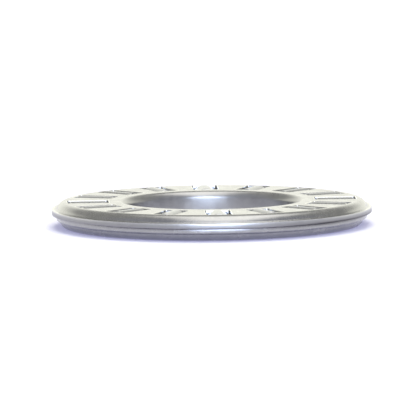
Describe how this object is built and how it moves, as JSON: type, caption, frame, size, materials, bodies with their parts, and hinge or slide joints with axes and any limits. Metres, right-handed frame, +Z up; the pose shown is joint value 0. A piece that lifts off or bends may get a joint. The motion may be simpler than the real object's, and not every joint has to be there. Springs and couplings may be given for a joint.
{
  "type": "thrust needle roller bearing",
  "caption": "Thin ring cage of two pressed steel halves holding radial needle rollers in slots, to run between two flat thrust washers.",
  "frame": {"origin": "on the bore's axis, in the plane that the rollers stand on", "axes": "+Z up along the bore's axis, from the lower cage half to the upper one; the first roller points along +X"},
  "size_m": [0.0238, 0.0238, 0.002],
  "materials": {
    "cage_steel": "satin",
    "roller_steel": "polished"
  },
  "bodies": {
    "cage": {"upper_cage_half": "cage_steel", "lower_cage_half": "cage_steel"},
    "roller_01": {"needle_roller_01": "roller_steel"},
    "roller_02": {"needle_roller_02": "roller_steel"},
    "roller_03": {"needle_roller_03": "roller_steel"},
    "roller_04": {"needle_roller_04": "roller_steel"},
    "roller_05": {"needle_roller_05": "roller_steel"},
    "roller_06": {"needle_roller_06": "roller_steel"},
    "roller_07": {"needle_roller_07": "roller_steel"},
    "roller_08": {"needle_roller_08": "roller_steel"},
    "roller_09": {"needle_roller_09": "roller_steel"},
    "roller_10": {"needle_roller_10": "roller_steel"},
    "roller_11": {"needle_roller_11": "roller_steel"},
    "roller_12": {"needle_roller_12": "roller_steel"},
    "roller_13": {"needle_roller_13": "roller_steel"},
    "roller_14": {"needle_roller_14": "roller_steel"},
    "roller_15": {"needle_roller_15": "roller_steel"},
    "roller_16": {"needle_roller_16": "roller_steel"}
  },
  "joints": [
    {"name": "roller_01_spin", "type": "hinge", "parent": "cage", "child": "roller_01", "pos_m": [0.0092, 0, 0.00099], "axis": [1, 0, 0], "continuous": true},
    {"name": "roller_02_spin", "type": "hinge", "parent": "cage", "child": "roller_02", "pos_m": [0.0085, 0.00352, 0.00099], "axis": [0.9239, 0.3827, 0], "continuous": true},
    {"name": "roller_03_spin", "type": "hinge", "parent": "cage", "child": "roller_03", "pos_m": [0.00651, 0.00651, 0.00099], "axis": [0.7071, 0.7071, 0], "continuous": true},
    {"name": "roller_04_spin", "type": "hinge", "parent": "cage", "child": "roller_04", "pos_m": [0.00352, 0.0085, 0.00099], "axis": [0.3827, 0.9239, 0], "continuous": true},
    {"name": "roller_05_spin", "type": "hinge", "parent": "cage", "child": "roller_05", "pos_m": [0, 0.0092, 0.00099], "axis": [0, 1, 0], "continuous": true},
    {"name": "roller_06_spin", "type": "hinge", "parent": "cage", "child": "roller_06", "pos_m": [-0.00352, 0.0085, 0.00099], "axis": [-0.3827, 0.9239, 0], "continuous": true},
    {"name": "roller_07_spin", "type": "hinge", "parent": "cage", "child": "roller_07", "pos_m": [-0.00651, 0.00651, 0.00099], "axis": [-0.7071, 0.7071, 0], "continuous": true},
    {"name": "roller_08_spin", "type": "hinge", "parent": "cage", "child": "roller_08", "pos_m": [-0.0085, 0.00352, 0.00099], "axis": [-0.9239, 0.3827, 0], "continuous": true},
    {"name": "roller_09_spin", "type": "hinge", "parent": "cage", "child": "roller_09", "pos_m": [-0.0092, 0, 0.00099], "axis": [-1, 0, 0], "continuous": true},
    {"name": "roller_10_spin", "type": "hinge", "parent": "cage", "child": "roller_10", "pos_m": [-0.0085, -0.00352, 0.00099], "axis": [-0.9239, -0.3827, 0], "continuous": true},
    {"name": "roller_11_spin", "type": "hinge", "parent": "cage", "child": "roller_11", "pos_m": [-0.00651, -0.00651, 0.00099], "axis": [-0.7071, -0.7071, 0], "continuous": true},
    {"name": "roller_12_spin", "type": "hinge", "parent": "cage", "child": "roller_12", "pos_m": [-0.00352, -0.0085, 0.00099], "axis": [-0.3827, -0.9239, 0], "continuous": true},
    {"name": "roller_13_spin", "type": "hinge", "parent": "cage", "child": "roller_13", "pos_m": [0, -0.0092, 0.00099], "axis": [0, -1, 0], "continuous": true},
    {"name": "roller_14_spin", "type": "hinge", "parent": "cage", "child": "roller_14", "pos_m": [0.00352, -0.0085, 0.00099], "axis": [0.3827, -0.9239, 0], "continuous": true},
    {"name": "roller_15_spin", "type": "hinge", "parent": "cage", "child": "roller_15", "pos_m": [0.00651, -0.00651, 0.00099], "axis": [0.7071, -0.7071, 0], "continuous": true},
    {"name": "roller_16_spin", "type": "hinge", "parent": "cage", "child": "roller_16", "pos_m": [0.0085, -0.00352, 0.00099], "axis": [0.9239, -0.3827, 0], "continuous": true}
  ]
}
